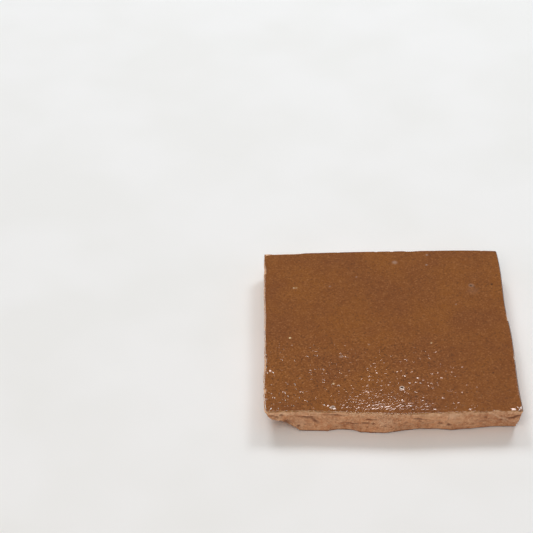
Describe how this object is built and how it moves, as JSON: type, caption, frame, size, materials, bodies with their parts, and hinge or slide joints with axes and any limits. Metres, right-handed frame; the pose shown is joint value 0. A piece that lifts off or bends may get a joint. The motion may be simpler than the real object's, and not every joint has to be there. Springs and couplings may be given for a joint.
{
  "type": "zellige tile",
  "caption": "Square hand-cut clay tile with a glossy brown glaze on its face and flaked, undercut sides below the rim.",
  "frame": {"origin": "centre of the bedding face, under the middle of the tile's bounding box", "axes": "+Z out of the glazed face, through the thickness; +X along the front side; +Y from the front side to the back side"},
  "size_m": [0.1006, 0.1018, 0.0111],
  "materials": {
    "glazed_clay": "glossy caramel brown glaze, speckled and lightly pitted, on the face",
    "terracotta": "bare fired clay of the broken sides and the bedding face"
  },
  "bodies": {
    "root": {"tile": "glazed_clay"}
  },
  "joints": []
}
